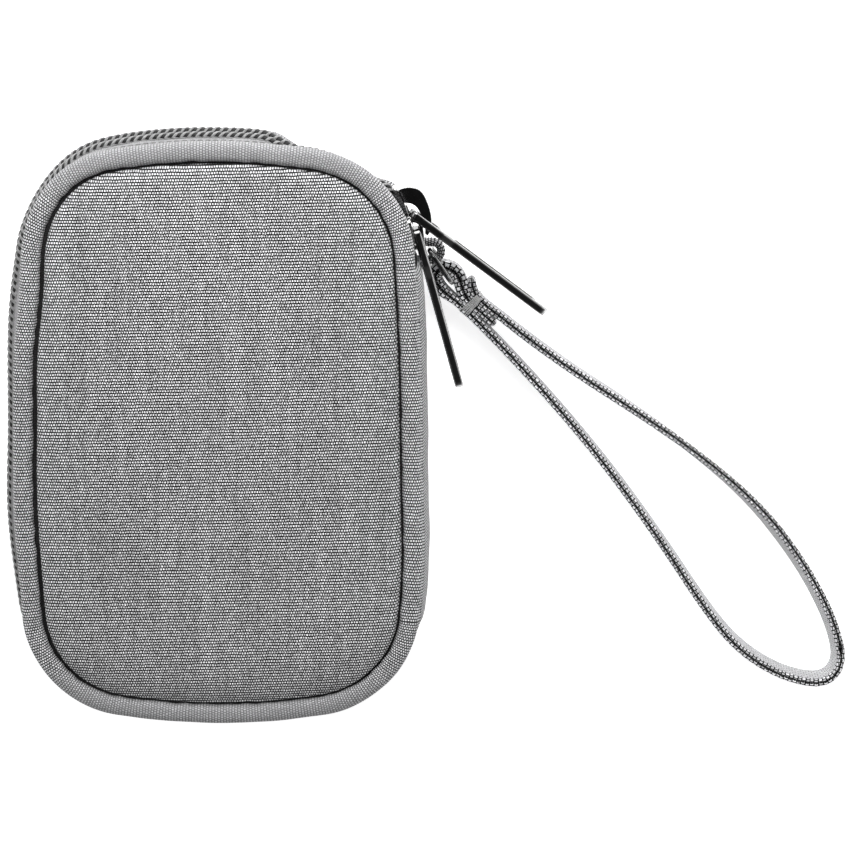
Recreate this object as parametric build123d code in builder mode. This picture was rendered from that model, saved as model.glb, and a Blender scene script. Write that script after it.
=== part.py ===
from build123d import *
import math
import os

# Zipped cable organizer pouch, closed, lying on its back. Millimetres.
# X runs across the case towards its hinge side, Y along its length, Z up through the front panel.
# The origin is the centre of the flat rest area of the back panel.

os.makedirs("parts", exist_ok=True)

# ---------------------------------------------------------------- driving dimensions
# outline of the two bindings: long gentle arcs for sides and ends, small arcs for corners
half_width = 50.0
half_length = 72.4
side_radius = 655.0
end_radius = 159.0
corner_radius = 27.5

# heights, from the back panel's rest face up
case_height = 38.8
mid_z = case_height / 2 + 0.1
binding_height = 5.2
binding_band = 4.8
back_binding_z = 2.2
front_binding_z = 2 * mid_z - back_binding_z - binding_height
binding_round = 2.1

# padded panels: woven skin, foam sheet, lining
panel_inset = 5.0
skin = 0.9
panel_rise = 4.8
panel_round = 2.8
foam_thickness = 3.0
lining_thickness = 0.6
layer_gap = 0.1

# zipper: chain of two coils on two tapes, its track moved a little away from the hinge side
track_shift = (-2.0, 0.9)
coil_out = 0.9
coil_thick = 2.2
coil_width = 2.4
coil_split = 1.0
tape_thick = 0.6
tape_split = 1.2
tape_foot = -1.6
tape_bend_z = 14.8

# hinge side, between the two ends of the chain
hinge_top_y = 38.0
hinge_bottom_y = -46.0
hinge_strip_thick = 0.8
hinge_x = 50.9
hinge_z = 21.0
hinge_lap = 2.9

# sliders
slider_half_angle = 8.2
slider_a_angle = 24.9
slider_b_angle = 7.95
slider_half_width = 4.2
channel_half_width = 3.3
channel_clear = 0.35
plate_thick = 0.9
slot_height = 2.3
post_thick = 0.5
post_angle = 4.0
crown_thick = 1.8
metal_edge_round = 0.2
spring_thick = 0.35

# pulls
pull_length = 42.0
pull_droop = 8.5
pull_head = 5.2
pull_blade = 3.9
pull_thick = 1.5
pull_eye = (0.55, 7.7)
pull_rail = 0.6
pull_edge_round = 0.25
pull_recess = 0.25
pull_a_pivot = (30.7, 17.4)
pull_b_pivot = (30.55, 9.4)
pull_a_heading = -37.8
pull_b_heading = -75.0

# tab, ring and wrist strap
tab_z = (7.6, 11.6)
tab_centre = (53.0, 42.7)
tab_foot_x = 47.1
web_thick = 2.1
tab_gap = 2.4
ring_wire = 1.3
ring_pin = (52.4, 42.9)
ring_reach = 9.8
ring_heading = -55.3
ring_height = 12.0
ring_z = 7.2
ring_corner = 2.4
strap_width = 6.6
strap_thick = 2.1
strap_pitch = 2.15
strap_bottom = 2.8
strap_fall = 0.97
strap_heading = -44.0
tack_centre = (63.0, 29.0)
tack_length = 2.6
tack_wrap = 0.5
tack_clear = 0.2

# inner fittings
loop_count = 3
loop_pitch = 23.0
loop_radius = 10.2
loop_band = 1.0
loop_rise = 7.0
loop_depth = 16.0
loop_rows = {"cable_loops_upper": 27.0, "cable_loops_lower": -24.0}
pocket_half_width = 36.0
pocket_y = (-54.0, 14.0)
pocket_depth = 5.8
mesh = 0.5
elastic_height = 8.0
elastic_thick = 1.2

# ---------------------------------------------------------------- outline geometry
side_centre = (half_width - side_radius, 0.0)
end_centre = (0.0, half_length - end_radius)


def corner_centre():
    """Centre of the corner arc that is tangent to the side arc and to the end arc."""
    ax, ay = side_centre
    bx, by = end_centre
    ra = side_radius - corner_radius
    rb = end_radius - corner_radius
    gap = math.hypot(bx - ax, by - ay)
    along = (ra**2 - rb**2 + gap**2) / (2 * gap)
    across = math.sqrt(ra**2 - along**2)
    ux, uy = (bx - ax) / gap, (by - ay) / gap
    return ax + along * ux - across * uy, ay + along * uy + across * ux


corner_x, corner_y = corner_centre()
side_angle = math.degrees(math.atan2(corner_y, corner_x - side_centre[0]))
end_angle = math.degrees(math.atan2(corner_y - end_centre[1], corner_x))
track_x = corner_x + track_shift[0]
track_y = corner_y + track_shift[1]
coil_r = corner_radius + coil_out
tape_out = coil_out - coil_thick
tape_in = tape_out - tape_thick
channel_in_r = corner_radius + tape_in - channel_clear
channel_out_r = coil_r + channel_clear
plate_in_r = channel_in_r - plate_thick
plate_out_r = channel_out_r + plate_thick


def outline(grow, shift=(0.0, 0.0), mode=Mode.ADD):
    """Face inside the case's outline, grown by an even margin and moved by shift."""
    dx, dy = shift
    with BuildLine() as edge:
        for side in (1, -1):
            start = -side_angle if side > 0 else 180 - side_angle
            centre = (side * side_centre[0] + dx, dy)
            CenterArc(centre, side_radius + grow, start, 2 * side_angle)
            start = end_angle if side > 0 else 180 + end_angle
            centre = (dx, side * end_centre[1] + dy)
            CenterArc(centre, end_radius + grow, start, 180 - 2 * end_angle)
        for sx, sy, start in (
            (1, 1, side_angle),
            (-1, 1, 180 - end_angle),
            (-1, -1, 180 + side_angle),
            (1, -1, -end_angle),
        ):
            centre = (sx * corner_x + dx, sy * corner_y + dy)
            CenterArc(centre, corner_radius + grow, start, end_angle - side_angle)
    make_face(edge.edges(), mode=mode)


def ring_prism(outer, inner, z_low, z_high, shift=(0.0, 0.0)):
    """Wall that follows the outline between two margins and two heights."""
    with BuildSketch(Plane.XY.offset(z_low)) as wall:
        outline(outer, shift)
        outline(inner, shift, mode=Mode.SUBTRACT)
    extrude(wall.sketch, amount=z_high - z_low)


def track_point(radius, angle):
    """Point on the top right corner of the zipper track, in polar measures about its centre."""
    turn = math.radians(angle)
    return track_x + radius * math.cos(turn), track_y + radius * math.sin(turn)


def sector(r_low, r_high, angle_low, angle_high, mode=Mode.ADD):
    """Face between two arcs about the centre of the track's corner."""
    span = angle_high - angle_low
    with BuildLine() as edge:
        CenterArc((track_x, track_y), r_high, angle_low, span)
        CenterArc((track_x, track_y), r_low, angle_low, span)
        Line(track_point(r_low, angle_low), track_point(r_high, angle_low))
        Line(track_point(r_low, angle_high), track_point(r_high, angle_high))
    make_face(edge.edges(), mode=mode)


def keep_side(y_low, y_high, z_low, z_high):
    """Keep only the hinge side of the part being built, between two lengths."""
    middle = (half_width, (y_low + y_high) / 2, (z_low + z_high) / 2)
    with Locations(middle):
        Box(half_width, y_high - y_low, z_high - z_low, mode=Mode.INTERSECT)


def cut_track(angle_high, y_low, z_low, z_high):
    """Take the hinge side out of a wall, from y_low up to a line from the corner's centre."""
    reach = 3 * corner_radius
    turn = math.radians(angle_high)
    with BuildSketch(Plane.XY.offset(z_low)) as wedge:
        with BuildLine():
            Polyline(
                (track_x, track_y),
                (track_x + reach * math.cos(turn), track_y + reach * math.sin(turn)),
                (track_x + reach, y_low),
                (track_x, y_low),
                close=True,
            )
        make_face()
    extrude(wedge.sketch, amount=z_high - z_low, mode=Mode.SUBTRACT)


chain_end_angle = -9.0
open_angle = slider_a_angle + slider_half_angle + 0.6

# ---------------------------------------------------------------- back shell
with BuildPart() as back_panel:
    with BuildSketch():
        outline(-panel_inset)
    extrude(amount=panel_rise)
    fillet(back_panel.faces().sort_by(Axis.Z)[0].edges(), panel_round)
    with BuildSketch(Plane.XY.offset(skin)):
        outline(-panel_inset - skin)
    extrude(amount=panel_rise, mode=Mode.SUBTRACT)
    fillet(back_panel.edges().filter_by_position(Axis.Z, skin, skin), panel_round - skin)
back_panel.part.label = "back_panel"
export_step(back_panel.part, "parts/back_panel.step")

back_foam_z = skin + layer_gap
with BuildPart() as back_foam:
    with BuildSketch(Plane.XY.offset(back_foam_z)):
        outline(-panel_inset - skin - layer_gap)
    extrude(amount=foam_thickness)
    fillet(back_foam.faces().sort_by(Axis.Z)[0].edges(), panel_round - skin)
back_foam.part.label = "back_foam"
export_step(back_foam.part, "parts/back_foam.step")

back_lining_z = back_foam_z + foam_thickness + layer_gap
back_floor_z = back_lining_z + lining_thickness
with BuildPart() as back_lining:
    with BuildSketch(Plane.XY.offset(back_lining_z)):
        outline(-panel_inset - skin - layer_gap)
    extrude(amount=lining_thickness)
back_lining.part.label = "back_lining"
export_step(back_lining.part, "parts/back_lining.step")

with BuildPart() as back_binding:
    ring_prism(0.0, -binding_band, back_binding_z, back_binding_z + binding_height)
    fillet(back_binding.faces().filter_by(Axis.Z).edges(), binding_round)
back_binding.part.label = "back_binding"
export_step(back_binding.part, "parts/back_binding.step")

back_tape_z = back_binding_z + binding_height + layer_gap
with BuildPart() as back_zip_tape:
    with BuildSketch(Plane.XY.offset(back_tape_z)):
        outline(tape_foot)
    with BuildSketch(Plane.XY.offset(tape_bend_z)):
        outline(tape_out, track_shift)
    loft()
    with BuildSketch(Plane.XY.offset(back_tape_z)):
        outline(tape_foot - tape_thick)
    with BuildSketch(Plane.XY.offset(tape_bend_z)):
        outline(tape_in, track_shift)
    loft(mode=Mode.SUBTRACT)
    ring_prism(tape_out, tape_in, tape_bend_z, mid_z - tape_split / 2, track_shift)
    cut_track(chain_end_angle, hinge_bottom_y, 0, mid_z)
back_zip_tape.part.label = "back_zip_tape"
export_step(back_zip_tape.part, "parts/back_zip_tape.step")

coil_low_z = mid_z - coil_split / 2 - coil_width
with BuildPart() as back_coil:
    ring_prism(coil_out, tape_out, coil_low_z, coil_low_z + coil_width, track_shift)
    cut_track(chain_end_angle, hinge_bottom_y, 0, mid_z)
back_coil.part.label = "back_coil"
export_step(back_coil.part, "parts/back_coil.step")

with BuildPart() as hinge_strip_back:
    ring_prism(
        layer_gap + hinge_strip_thick,
        layer_gap,
        back_binding_z + binding_height - hinge_lap,
        hinge_z - 0.1,
    )
    keep_side(hinge_bottom_y, hinge_top_y, 0, case_height)
hinge_strip_back.part.label = "hinge_strip_back"
export_step(hinge_strip_back.part, "parts/hinge_strip_back.step")

# front half of the closed chain's end, which the two sliders sit on
with BuildPart() as zip_chain_end:
    with BuildSketch(Plane.XY.offset(mid_z + coil_split / 2)):
        sector(corner_radius + tape_out, coil_r, chain_end_angle, open_angle - 0.6)
    extrude(amount=coil_width)
    with BuildSketch(Plane.XY.offset(mid_z + tape_split / 2)):
        sector(corner_radius + tape_in, corner_radius + tape_out, chain_end_angle, open_angle - 0.6)
    extrude(amount=slider_half_width + 0.6)
zip_chain_end.part.label = "zip_chain_end"
export_step(zip_chain_end.part, "parts/zip_chain_end.step")

stop_size = (3.0, 2.2, 4.6)
stop_top = track_point(coil_r - coil_thick / 2, chain_end_angle - 3.6)
stop_bottom = (stop_top[0] - 0.4, hinge_bottom_y + 1.8)
with BuildPart() as zip_end_stops:
    with Locations((*stop_top, mid_z), (*stop_bottom, mid_z)):
        Box(*stop_size)
    fillet(zip_end_stops.edges().filter_by(Axis.Y), 0.6)
zip_end_stops.part.label = "zip_end_stops"
export_step(zip_end_stops.part, "parts/zip_end_stops.step")

# ribbon folded round the ring, its two legs sewn to the back zipper tape
tab_radius = tab_gap / 2 + web_thick
tab_length = tab_centre[0] - tab_foot_x
with BuildPart() as strap_tab:
    with BuildSketch(Plane.XY.offset(tab_z[0])):
        with Locations(tab_centre):
            Circle(tab_radius)
        with Locations((tab_foot_x + tab_length / 2, tab_centre[1])):
            Rectangle(tab_length, 2 * tab_radius)
        with Locations(tab_centre):
            Circle(tab_gap / 2, mode=Mode.SUBTRACT)
        with Locations((tab_foot_x + tab_length / 2, tab_centre[1])):
            Rectangle(tab_length, tab_gap, mode=Mode.SUBTRACT)
    extrude(amount=tab_z[1] - tab_z[0])
strap_tab.part.label = "strap_tab"
export_step(strap_tab.part, "parts/strap_tab.step")

# elastic bands sewn down between their arches, each arch holding one cable
loop_centre_z = back_floor_z + layer_gap + loop_rise - loop_radius
band_half = (loop_count - 1) * loop_pitch / 2 + loop_pitch / 2
for node, row_y in loop_rows.items():
    with BuildPart() as cable_loops:
        with BuildSketch(Plane.XZ.offset(-row_y - loop_depth / 2)):
            with Locations((0, back_floor_z + layer_gap + loop_band / 2)):
                Rectangle(2 * band_half, loop_band)
            with Locations(*[((i - 1) * loop_pitch, loop_centre_z) for i in range(loop_count)]):
                Circle(loop_radius)
            with Locations(*[((i - 1) * loop_pitch, loop_centre_z) for i in range(loop_count)]):
                Circle(loop_radius - loop_band, mode=Mode.SUBTRACT)
            with Locations((0, back_floor_z + layer_gap + case_height / 2)):
                Rectangle(2 * band_half, case_height, mode=Mode.INTERSECT)
        extrude(amount=loop_depth)
    cable_loops.part.label = node
    export_step(cable_loops.part, f"parts/{node}.step")

# ---------------------------------------------------------------- front shell
front_panel_z = case_height - panel_rise
with BuildPart() as front_panel:
    with BuildSketch(Plane.XY.offset(front_panel_z)):
        outline(-panel_inset)
    extrude(amount=panel_rise)
    fillet(front_panel.faces().sort_by(Axis.Z)[-1].edges(), panel_round)
    with BuildSketch(Plane.XY.offset(case_height - skin)):
        outline(-panel_inset - skin)
    extrude(amount=-panel_rise, mode=Mode.SUBTRACT)
    inner_edges = front_panel.edges().filter_by_position(Axis.Z, case_height - skin, case_height - skin)
    fillet(inner_edges, panel_round - skin)
front_panel.part.label = "front_panel"
export_step(front_panel.part, "parts/front_panel.step")

front_foam_z = case_height - skin - layer_gap - foam_thickness
with BuildPart() as front_foam:
    with BuildSketch(Plane.XY.offset(front_foam_z)):
        outline(-panel_inset - skin - layer_gap)
    extrude(amount=foam_thickness)
    fillet(front_foam.faces().sort_by(Axis.Z)[-1].edges(), panel_round - skin)
front_foam.part.label = "front_foam"
export_step(front_foam.part, "parts/front_foam.step")

front_ceiling_z = front_foam_z - layer_gap - lining_thickness
with BuildPart() as front_lining:
    with BuildSketch(Plane.XY.offset(front_ceiling_z)):
        outline(-panel_inset - skin - layer_gap)
    extrude(amount=lining_thickness)
front_lining.part.label = "front_lining"
export_step(front_lining.part, "parts/front_lining.step")

with BuildPart() as front_binding:
    ring_prism(0.0, -binding_band, front_binding_z, front_binding_z + binding_height)
    fillet(front_binding.faces().filter_by(Axis.Z).edges(), binding_round)
front_binding.part.label = "front_binding"
export_step(front_binding.part, "parts/front_binding.step")

front_tape_z = front_binding_z - layer_gap
front_bend_z = 2 * mid_z - tape_bend_z
notch_z = mid_z + slider_half_width + 1.4
with BuildPart() as front_zip_tape:
    with BuildSketch(Plane.XY.offset(front_tape_z)):
        outline(tape_foot)
    with BuildSketch(Plane.XY.offset(front_bend_z)):
        outline(tape_out, track_shift)
    loft()
    with BuildSketch(Plane.XY.offset(front_tape_z)):
        outline(tape_foot - tape_thick)
    with BuildSketch(Plane.XY.offset(front_bend_z)):
        outline(tape_in, track_shift)
    loft(mode=Mode.SUBTRACT)
    ring_prism(tape_out, tape_in, mid_z + tape_split / 2, front_bend_z, track_shift)
    cut_track(chain_end_angle, hinge_bottom_y, mid_z, case_height)
    cut_track(open_angle, hinge_bottom_y, mid_z, notch_z)
front_zip_tape.part.label = "front_zip_tape"
export_step(front_zip_tape.part, "parts/front_zip_tape.step")

with BuildPart() as front_coil:
    coil_top_z = mid_z + coil_split / 2 + coil_width
    ring_prism(coil_out, tape_out, coil_top_z - coil_width, coil_top_z, track_shift)
    cut_track(open_angle, hinge_bottom_y, mid_z, case_height)
front_coil.part.label = "front_coil"
export_step(front_coil.part, "parts/front_coil.step")

with BuildPart() as hinge_strip_front:
    ring_prism(
        layer_gap + hinge_strip_thick,
        layer_gap,
        hinge_z + 0.1,
        front_binding_z + hinge_lap,
    )
    keep_side(hinge_bottom_y, hinge_top_y, 0, case_height)
hinge_strip_front.part.label = "hinge_strip_front"
export_step(hinge_strip_front.part, "parts/hinge_strip_front.step")

# mesh pocket under the front lining: closed on three sides, open towards +Y
pocket_top_z = front_ceiling_z - layer_gap
pocket_mid_y = (pocket_y[0] + pocket_y[1]) / 2
pocket_length = pocket_y[1] - pocket_y[0]
with BuildPart() as mesh_pocket:
    with BuildSketch(Plane.XY.offset(pocket_top_z)):
        with Locations((0, pocket_mid_y)):
            Rectangle(2 * pocket_half_width, pocket_length)
    extrude(amount=-pocket_depth)
    with BuildSketch(Plane.XY.offset(pocket_top_z)):
        with Locations((0, pocket_mid_y + mesh)):
            Rectangle(2 * (pocket_half_width - mesh), pocket_length)
    extrude(amount=mesh - pocket_depth, mode=Mode.SUBTRACT)
mesh_pocket.part.label = "mesh_pocket"
export_step(mesh_pocket.part, "parts/mesh_pocket.step")

pocket_floor_z = pocket_top_z - pocket_depth
with BuildPart() as mesh_pocket_elastic:
    with BuildSketch(Plane.XY.offset(pocket_floor_z - layer_gap)):
        with Locations((0, pocket_y[1] - elastic_height / 2)):
            Rectangle(2 * pocket_half_width, elastic_height)
    extrude(amount=-elastic_thick)
mesh_pocket_elastic.part.label = "mesh_pocket_elastic"
export_step(mesh_pocket_elastic.part, "parts/mesh_pocket_elastic.step")


# ---------------------------------------------------------------- sliders
def slider_body(middle, nose):
    """Two curved plates joined by the post at the nose, round the chain's channel."""
    low, high = middle - slider_half_angle, middle + slider_half_angle
    with BuildSketch(Plane.XY.offset(mid_z - slider_half_width)) as block:
        sector(plate_in_r, plate_out_r, low, high)
    extrude(block.sketch, amount=2 * slider_half_width)
    turn = math.radians(middle)
    face_plane = Plane(
        origin=(*track_point(plate_in_r, middle), mid_z),
        x_dir=(-math.sin(turn), math.cos(turn), 0),
        z_dir=(math.cos(turn), math.sin(turn), 0),
    )
    half = plate_out_r * math.radians(slider_half_angle) + 0.2
    with BuildSketch(face_plane) as face:
        with BuildLine():
            FilletPolyline(
                (nose * half, slider_half_width),
                (-nose * half, slider_half_width - 1.1),
                (-nose * half, 1.1 - slider_half_width),
                (nose * half, -slider_half_width),
                radius=1.5,
                close=True,
            )
        make_face()
    extrude(face.sketch, amount=corner_radius / 2, both=True, mode=Mode.INTERSECT)
    with BuildSketch(Plane.XY.offset(mid_z - channel_half_width)) as channel:
        sector(channel_in_r, channel_out_r, low - 2, high + 2)
    extrude(channel.sketch, amount=2 * channel_half_width, mode=Mode.SUBTRACT)
    with BuildSketch(Plane.XY.offset(mid_z - 2 * slider_half_width)) as slot:
        slot_out_r = corner_radius + tape_out + channel_clear
        sector(channel_in_r, slot_out_r, low - 2, high + 2)
    extrude(slot.sketch, amount=4 * slider_half_width, mode=Mode.SUBTRACT)
    tip = middle + nose * (slider_half_angle - 0.6)
    back = tip - nose * post_angle
    with BuildSketch(Plane.XY.offset(mid_z - post_thick / 2)) as post:
        sector(plate_in_r + 0.2, plate_out_r - 0.2, min(tip, back), max(tip, back))
    extrude(post.sketch, amount=post_thick)


def crown(body, outer, inner):
    """Bridge over the outer plate, drawn by its outer and inner curve in track measures."""
    with BuildSketch(Plane.XY.offset(mid_z - crown_thick / 2)) as profile:
        with BuildLine():
            top = Spline(*[track_point(*point) for point in outer])
            under = Spline(*[track_point(*point) for point in inner])
            Line(top @ 0, under @ 0)
            Line(top @ 1, under @ 1)
        make_face()
        sector(plate_in_r, plate_out_r, chain_end_angle, open_angle, mode=Mode.SUBTRACT)
    extrude(profile.sketch, amount=crown_thick)
    long_edges = body.faces().filter_by(Axis.Z).edges().sort_by(SortBy.LENGTH)[-2:]
    fillet(long_edges, metal_edge_round)


with BuildPart() as slider_a_body:
    slider_body(slider_a_angle, -1)
slider_a_body.part.label = "slider_a_body"
export_step(slider_a_body.part, "parts/slider_a_body.step")

with BuildPart() as slider_b_body:
    slider_body(slider_b_angle, 1)
slider_b_body.part.label = "slider_b_body"
export_step(slider_b_body.part, "parts/slider_b_body.step")

# tall hook of the far slider: its foot behind, its tip reaching over the near slider
with BuildPart() as slider_a_crown:
    crown(
        slider_a_crown,
        [(29.5, 30.4), (32.4, 29.4), (34.4, 26.0), (35.0, 20.5), (34.9, 14.5), (34.3, 10.0), (33.1, 6.6)],
        [(29.5, 23.9), (30.4, 23.1), (31.4, 21.7), (32.2, 19.0), (32.5, 15.5), (32.7, 11.5), (32.5, 7.8)],
    )
slider_a_crown.part.label = "slider_a_crown"
export_step(slider_a_crown.part, "parts/slider_a_crown.step")

# low bridge of the near slider, with a foot at each end
with BuildPart() as slider_b_crown:
    crown(
        slider_b_crown,
        [(29.5, 15.6), (31.0, 15.1), (32.0, 12.6), (32.2, 8.0), (32.0, 3.6), (31.0, 1.2), (29.5, 0.8)],
        [(29.5, 13.6), (30.5, 13.4), (31.35, 11.8), (31.5, 8.0), (31.3, 4.4), (30.5, 3.1), (29.5, 3.0)],
    )
slider_b_crown.part.label = "slider_b_crown"
export_step(slider_b_crown.part, "parts/slider_b_crown.step")

# leaf spring of the lock, lying on each slider's outer plate inside the crown
for node, low, high in (("slider_a_spring", 18.6, 22.4), ("slider_b_spring", 3.6, 7.4)):
    with BuildPart() as lock_spring:
        with BuildSketch(Plane.XY.offset(mid_z - crown_thick / 2)):
            spring_low_r = plate_out_r + 0.01
            sector(spring_low_r, spring_low_r + spring_thick, low, high)
        extrude(amount=crown_thick)
    lock_spring.part.label = node
    export_step(lock_spring.part, f"parts/{node}.step")


def pull(body, pivot, heading):
    """Slim flat pull with a long eye, in a vertical plane, its tip a little lower than its head."""
    turn = math.radians(heading)
    droop = math.radians(pull_droop)
    along = (math.cos(turn) * math.cos(droop), math.sin(turn) * math.cos(droop), -math.sin(droop))
    across = (math.sin(turn), -math.cos(turn), 0)
    blade_plane = Plane(origin=(*track_point(*pivot), mid_z), x_dir=along, z_dir=across)
    half_head = pull_head / 2
    half_blade = pull_blade / 2
    eye_low, eye_high = pull_eye
    with BuildSketch(blade_plane) as blade:
        with BuildLine():
            FilletPolyline(
                (-eye_low, half_head),
                (eye_high + 1.0, half_head),
                (eye_high + 4.5, half_blade),
                (pull_length, half_blade),
                (pull_length, -half_blade),
                (eye_high + 4.5, -half_blade),
                (eye_high + 1.0, -half_head),
                (-eye_low, -half_head),
                radius=[1.2, 3.0, 3.0, 1.8, 1.8, 3.0, 3.0, 1.2],
                close=True,
            )
        make_face()
        with Locations(((eye_low + eye_high) / 2, 0)):
            RectangleRounded(eye_high - eye_low, pull_head - 2 * pull_rail, 0.45, mode=Mode.SUBTRACT)
    extrude(blade.sketch, amount=pull_thick / 2, both=True)
    flats = body.faces().filter_by(Axis(blade_plane.origin, blade_plane.z_dir))
    fillet(flats.edges(), pull_edge_round)
    for side in (1, -1):
        with BuildSketch(blade_plane.offset(side * (pull_thick / 2 - pull_recess))) as panel:
            with Locations((0.6 * pull_length, 0)):
                SlotOverall(0.62 * pull_length, pull_blade - 1.6)
        extrude(panel.sketch, amount=side * 2 * pull_recess, mode=Mode.SUBTRACT)


with BuildPart() as slider_a_pull:
    pull(slider_a_pull, pull_a_pivot, pull_a_heading)
slider_a_pull.part.label = "slider_a_pull"
export_step(slider_a_pull.part, "parts/slider_a_pull.step")

with BuildPart() as slider_b_pull:
    pull(slider_b_pull, pull_b_pivot, pull_b_heading)
slider_b_pull.part.label = "slider_b_pull"
export_step(slider_b_pull.part, "parts/slider_b_pull.step")

# ---------------------------------------------------------------- ring and wrist strap
ring_turn = math.radians(ring_heading)
ring_mid = (
    ring_pin[0] + ring_reach / 2 * math.cos(ring_turn),
    ring_pin[1] + ring_reach / 2 * math.sin(ring_turn),
    ring_z,
)
ring_plane = Plane(
    origin=ring_mid,
    x_dir=(math.cos(ring_turn), math.sin(ring_turn), 0),
    z_dir=(math.sin(ring_turn), -math.cos(ring_turn), 0),
)
ring_rise = (ring_height - ring_wire) / 2
with BuildPart() as strap_ring:
    with BuildLine(ring_plane) as ring_path:
        FilletPolyline(
            (ring_reach / 2, -ring_rise),
            (ring_reach / 2, ring_rise),
            (-ring_reach / 2, ring_rise),
            (-ring_reach / 2, -ring_rise),
            radius=ring_corner,
            close=True,
        )
    with BuildSketch(Plane(origin=ring_path.line @ 0, z_dir=ring_path.line % 0)):
        Circle(ring_wire / 2)
    sweep()
strap_ring.part.label = "strap_ring"
export_step(strap_ring.part, "parts/strap_ring.step")

tack_turn = math.radians(strap_heading)
tack_along = (math.cos(tack_turn), math.sin(tack_turn))
tack_across = (-math.sin(tack_turn), math.cos(tack_turn))


def tack_point(along, layer):
    """Point in the bar tack: a length along the strap, and a layer counted across it."""
    side = layer * strap_pitch
    return (
        tack_centre[0] + along * tack_along[0] + side * tack_across[0],
        tack_centre[1] + along * tack_along[1] + side * tack_across[1],
    )


# route of the strap's centre line: cut end, tack, round the ring, tack, wrist loop, tack, cut end
strap_route = [
    (68.9, 23.75),
    tack_point(2.6, 0),
    tack_point(-2.8, 0),
    (59.6, 36.9),
    (55.6, 38.7),
    (53.3, 36.4),
    (54.4, 33.2),
    tack_point(-2.8, -1),
    tack_point(3.4, -1),
    (72.2, 16.7),
    (84.0, 3.7),
    (98.2, -13.6),
    (112.4, -33.3),
    (124.6, -52.0),
    (132.3, -61.3),
    (141.5, -67.6),
    (150.0, -70.4),
    (155.6, -70.2),
    (158.7, -66.2),
    (158.1, -60.0),
    (154.6, -50.5),
    (147.2, -37.8),
    (136.0, -23.3),
    (122.0, -11.0),
    (105.0, 1.1),
    (88.0, 12.3),
    (76.5, 20.8),
    (70.7, 25.5),
    tack_point(2.8, 1),
    tack_point(-1.9, 1),
    (62.9, 35.6),
]


def arc_radii(points):
    """Largest even arcs: 0.45 of the shorter run, divided by the tangent of half the turn."""
    radii = []
    for before, corner, after in zip(points, points[1:], points[2:]):
        run_in = Vector(*corner) - Vector(*before)
        run_out = Vector(*after) - Vector(*corner)
        half_turn = math.radians(run_in.get_angle(run_out) / 2)
        radii.append(0.45 * min(run_in.length, run_out.length) / math.tan(half_turn))
    return radii


strap_radii = arc_radii(strap_route)
print("strap arc radii:", [round(radius, 1) for radius in strap_radii])

# the strap's plane falls gently from the ring to the surface that the pouch lies on
fall = math.radians(strap_fall)
fall_x = math.cos(tack_turn) * math.sin(fall)
fall_y = math.sin(tack_turn) * math.sin(fall)
strap_plane = Plane(
    origin=(tack_centre[0], tack_centre[1], strap_bottom + strap_width / 2),
    x_dir=(1, 0, -fall_x / math.cos(fall)),
    z_dir=(fall_x, fall_y, math.cos(fall)),
)
local_route = [(x - tack_centre[0], y - tack_centre[1]) for x, y in strap_route]
with BuildPart() as wrist_strap:
    with BuildLine(strap_plane) as strap_path:
        FilletPolyline(*local_route, radius=strap_radii)
    with BuildSketch(Plane(origin=strap_path.line @ 0, x_dir=strap_plane.z_dir, z_dir=strap_path.line % 0)):
        Rectangle(strap_width, strap_thick)
    sweep()
wrist_strap.part.label = "wrist_strap"
export_step(wrist_strap.part, "parts/wrist_strap.step")
strap_length = sum(edge.length for edge in strap_path.edges())
print("strap length:", round(strap_length, 1))
print("strap volume ratio:", round(wrist_strap.part.volume / (strap_length * strap_width * strap_thick), 4))

tack_plane = Plane(
    origin=strap_plane.origin,
    x_dir=(tack_across[0], tack_across[1], 0),
    z_dir=(tack_along[0] * math.cos(fall), tack_along[1] * math.cos(fall), -math.sin(fall)),
)
tack_inner = (2 * strap_pitch + strap_thick + 2 * tack_clear, strap_width + 2 * tack_clear)
with BuildPart() as strap_bartack:
    with BuildSketch(tack_plane):
        RectangleRounded(tack_inner[0] + 2 * tack_wrap, tack_inner[1] + 2 * tack_wrap, tack_wrap)
        Rectangle(*tack_inner, mode=Mode.SUBTRACT)
    extrude(amount=tack_length / 2, both=True)
strap_bartack.part.label = "strap_bartack"
export_step(strap_bartack.part, "parts/strap_bartack.step")

print("track centre:", round(track_x, 3), round(track_y, 3))
print("pull pivots:", track_point(*pull_a_pivot), track_point(*pull_b_pivot))
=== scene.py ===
import math

import bpy
import numpy as np
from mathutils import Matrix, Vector


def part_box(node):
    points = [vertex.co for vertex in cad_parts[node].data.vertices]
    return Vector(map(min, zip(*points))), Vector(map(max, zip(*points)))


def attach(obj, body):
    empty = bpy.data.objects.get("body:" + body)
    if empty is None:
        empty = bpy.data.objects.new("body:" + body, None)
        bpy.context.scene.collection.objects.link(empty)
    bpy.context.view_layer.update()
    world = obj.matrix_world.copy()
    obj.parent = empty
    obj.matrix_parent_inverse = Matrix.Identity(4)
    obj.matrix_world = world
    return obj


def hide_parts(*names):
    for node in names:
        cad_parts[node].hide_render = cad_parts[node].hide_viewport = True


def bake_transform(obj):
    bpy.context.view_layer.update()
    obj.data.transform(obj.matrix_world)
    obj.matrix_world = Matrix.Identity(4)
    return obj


# Looks of the zipped cable organizer pouch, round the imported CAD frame. Metres, in the CAD's frame.
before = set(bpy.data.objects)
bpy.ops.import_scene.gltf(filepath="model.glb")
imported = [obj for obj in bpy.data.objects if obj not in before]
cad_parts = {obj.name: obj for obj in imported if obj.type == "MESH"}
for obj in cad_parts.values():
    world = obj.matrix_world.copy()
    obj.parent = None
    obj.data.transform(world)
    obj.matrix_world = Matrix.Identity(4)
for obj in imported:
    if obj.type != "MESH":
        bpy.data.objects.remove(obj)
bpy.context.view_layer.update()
MM = 0.001

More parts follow.
